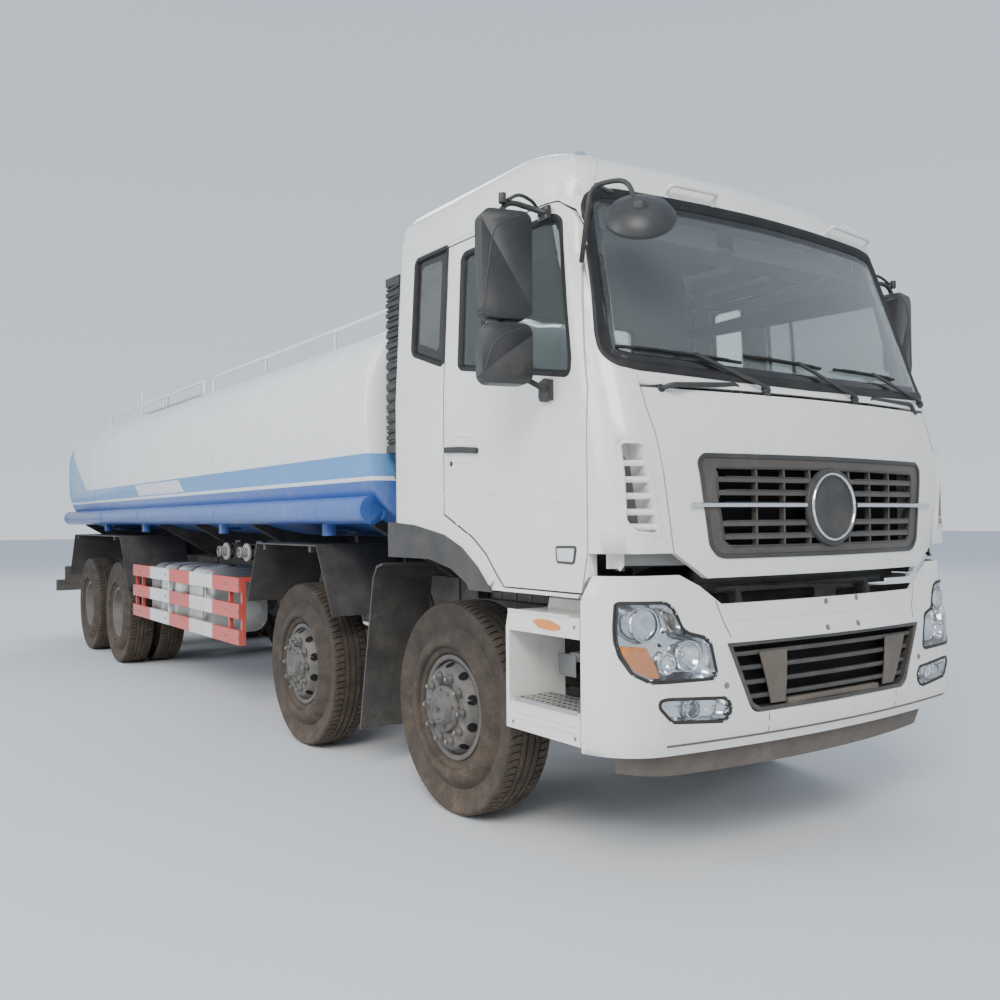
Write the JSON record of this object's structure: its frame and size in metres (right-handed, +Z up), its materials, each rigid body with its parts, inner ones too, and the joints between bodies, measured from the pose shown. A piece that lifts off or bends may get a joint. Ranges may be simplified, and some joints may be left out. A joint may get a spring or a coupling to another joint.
{
  "type": "tanker truck",
  "caption": "Tanker truck with a tilting cab, two steered axles, a twin-tyred rear bogie, a rounded-box tank, side hose tubes and rails.",
  "frame": {"origin": "on the ground, under the middle of the vehicle's length and width", "axes": "+X forwards, along the vehicle's length; +Y to its left; +Z up"},
  "size_m": [11.855, 3.1176, 3.3239],
  "materials": {
    "cab_paint": "clean gloss off-white",
    "tank_paint": "gloss white over mid-blue and dark-blue bands",
    "blue_paint": "gloss blue",
    "black_paint": "satin black",
    "red_paint": "red with white bands",
    "grey_paint": "dull dark grey",
    "machined_steel": "bare",
    "cast_grey": "bare, oily",
    "tank_aluminium": "dull rolled",
    "tyre": "dusty tread",
    "black_plastic": "grained",
    "interior_plastic": "grained",
    "seat_cloth": "woven",
    "window_glass": "tinted",
    "lamp_glass": "clear over chrome"
  },
  "bodies": {
    "chassis": {"chassis_frame": "black_paint", "leaf_springs": "grey_paint", "steer_axles": "black_paint", "drive_axles": "black_paint", "engine_block": "cast_grey", "driveline": "cast_grey", "front_bumper": "cab_paint", "lamps": "lamp_glass", "cab_steps": "cab_paint", "fuel_tank": "tank_aluminium", "battery_box": "black_plastic", "air_tanks": "black_paint", "side_guards": "red_paint", "mudguards": "black_plastic", "tank_cradle": "black_paint", "water_tank": "tank_paint", "hose_tubes": "blue_paint", "handrails": "tank_paint", "water_pump": "cast_grey", "rear_ladder": "tank_paint", "rear_beam": "black_paint"},
    "cab": {"cab_shell": "cab_paint", "cab_roof": "cab_paint", "cab_glass": "window_glass", "wheel_arch_trims": "black_plastic", "dashboard": "interior_plastic", "seats": "seat_cloth", "front_mirror": "black_plastic", "air_intake": "black_plastic"},
    "steering_wheel": {"steering_wheel": "interior_plastic"},
    "door_right": {"door_right": "cab_paint", "door_glass_right": "window_glass", "mirrors_right": "black_plastic"},
    "door_left": {"door_left": "cab_paint", "door_glass_left": "window_glass", "mirrors_left": "black_plastic"},
    "front_panel": {"front_panel": "cab_paint", "grille": "black_plastic"},
    "front_manhole_lid": {"front_manhole_lid": "tank_paint"},
    "rear_manhole_lid": {"rear_manhole_lid": "tank_paint"},
    "knuckle_1_right": {"knuckle_1_right": "machined_steel"},
    "wheel_1_right": {"wheel_1_right": "grey_paint", "tyre_1_right": "tyre"},
    "knuckle_1_left": {"knuckle_1_left": "machined_steel"},
    "wheel_1_left": {"wheel_1_left": "grey_paint", "tyre_1_left": "tyre"},
    "knuckle_2_right": {"knuckle_2_right": "machined_steel"},
    "wheel_2_right": {"wheel_2_right": "grey_paint", "tyre_2_right": "tyre"},
    "knuckle_2_left": {"knuckle_2_left": "machined_steel"},
    "wheel_2_left": {"wheel_2_left": "grey_paint", "tyre_2_left": "tyre"},
    "wheels_3_right": {"wheels_3_right": "grey_paint", "tyres_3_right": "tyre"},
    "wheels_3_left": {"wheels_3_left": "grey_paint", "tyres_3_left": "tyre"},
    "wheels_4_right": {"wheels_4_right": "grey_paint", "tyres_4_right": "tyre"},
    "wheels_4_left": {"wheels_4_left": "grey_paint", "tyres_4_left": "tyre"}
  },
  "joints": [
    {"name": "cab_tilt", "type": "hinge", "parent": "chassis", "child": "cab", "pos_m": [5.7525, 0, 1.1], "axis": [0, 1, 0], "range_deg": [0, 50]},
    {"name": "right_door_swing", "type": "hinge", "parent": "cab", "child": "door_right", "pos_m": [5.5675, -1.213, 2], "axis": [0, 0, -1], "range_deg": [-65, 0]},
    {"name": "left_door_swing", "type": "hinge", "parent": "cab", "child": "door_left", "pos_m": [5.5675, 1.213, 2], "axis": [0, 0, 1], "range_deg": [-65, 0]},
    {"name": "front_panel_lift", "type": "hinge", "parent": "cab", "child": "front_panel", "pos_m": [5.8025, 0, 2.08], "axis": [0, -1, 0], "range_deg": [0, 75]},
    {"name": "front_lid_lift", "type": "hinge", "parent": "chassis", "child": "front_manhole_lid", "pos_m": [0.9925, 0, 2.92], "axis": [0, -1, 0], "range_deg": [0, 105]},
    {"name": "rear_lid_lift", "type": "hinge", "parent": "chassis", "child": "rear_manhole_lid", "pos_m": [-3.9075, 0, 2.92], "axis": [0, -1, 0], "range_deg": [0, 105]},
    {"name": "axle_1_right_steer", "type": "hinge", "parent": "chassis", "child": "knuckle_1_right", "pos_m": [4.3725, -0.86, 0.555], "axis": [0, 0, 1], "range_deg": [-35, 35]},
    {"name": "wheel_1_right_spin", "type": "hinge", "parent": "knuckle_1_right", "child": "wheel_1_right", "pos_m": [4.3725, -1.015, 0.555], "axis": [0, 1, 0], "continuous": true},
    {"name": "axle_1_left_steer", "type": "hinge", "parent": "chassis", "child": "knuckle_1_left", "pos_m": [4.3725, 0.86, 0.555], "axis": [0, 0, 1], "range_deg": [-35, 35]},
    {"name": "wheel_1_left_spin", "type": "hinge", "parent": "knuckle_1_left", "child": "wheel_1_left", "pos_m": [4.3725, 1.015, 0.555], "axis": [0, 1, 0], "continuous": true},
    {"name": "axle_2_right_steer", "type": "hinge", "parent": "chassis", "child": "knuckle_2_right", "pos_m": [2.4225, -0.86, 0.555], "axis": [0, 0, 1], "range_deg": [-27, 27]},
    {"name": "wheel_2_right_spin", "type": "hinge", "parent": "knuckle_2_right", "child": "wheel_2_right", "pos_m": [2.4225, -1.015, 0.555], "axis": [0, 1, 0], "continuous": true},
    {"name": "axle_2_left_steer", "type": "hinge", "parent": "chassis", "child": "knuckle_2_left", "pos_m": [2.4225, 0.86, 0.555], "axis": [0, 0, 1], "range_deg": [-27, 27]},
    {"name": "wheel_2_left_spin", "type": "hinge", "parent": "knuckle_2_left", "child": "wheel_2_left", "pos_m": [2.4225, 1.015, 0.555], "axis": [0, 1, 0], "continuous": true},
    {"name": "wheels_3_right_spin", "type": "hinge", "parent": "chassis", "child": "wheels_3_right", "pos_m": [-2.4775, -0.925, 0.555], "axis": [0, 1, 0], "continuous": true},
    {"name": "wheels_3_left_spin", "type": "hinge", "parent": "chassis", "child": "wheels_3_left", "pos_m": [-2.4775, 0.925, 0.555], "axis": [0, 1, 0], "continuous": true},
    {"name": "wheels_4_right_spin", "type": "hinge", "parent": "chassis", "child": "wheels_4_right", "pos_m": [-3.8775, -0.925, 0.555], "axis": [0, 1, 0], "continuous": true},
    {"name": "wheels_4_left_spin", "type": "hinge", "parent": "chassis", "child": "wheels_4_left", "pos_m": [-3.8775, 0.925, 0.555], "axis": [0, 1, 0], "continuous": true},
    {"name": "steering_wheel_turn", "type": "hinge", "parent": "cab", "child": "steering_wheel", "pos_m": [5.1625, 0.65, 2.11], "axis": [-0.6157, 0, 0.788], "range_deg": [-562, 562]}
  ],
  "couplings": [
    {"joint": "axle_1_left_steer", "follows": "axle_1_right_steer", "ratio": 1},
    {"joint": "axle_2_right_steer", "follows": "axle_1_right_steer", "ratio": 0.76},
    {"joint": "axle_2_left_steer", "follows": "axle_1_right_steer", "ratio": 0.76},
    {"joint": "steering_wheel_turn", "follows": "axle_1_right_steer", "ratio": 16}
  ]
}
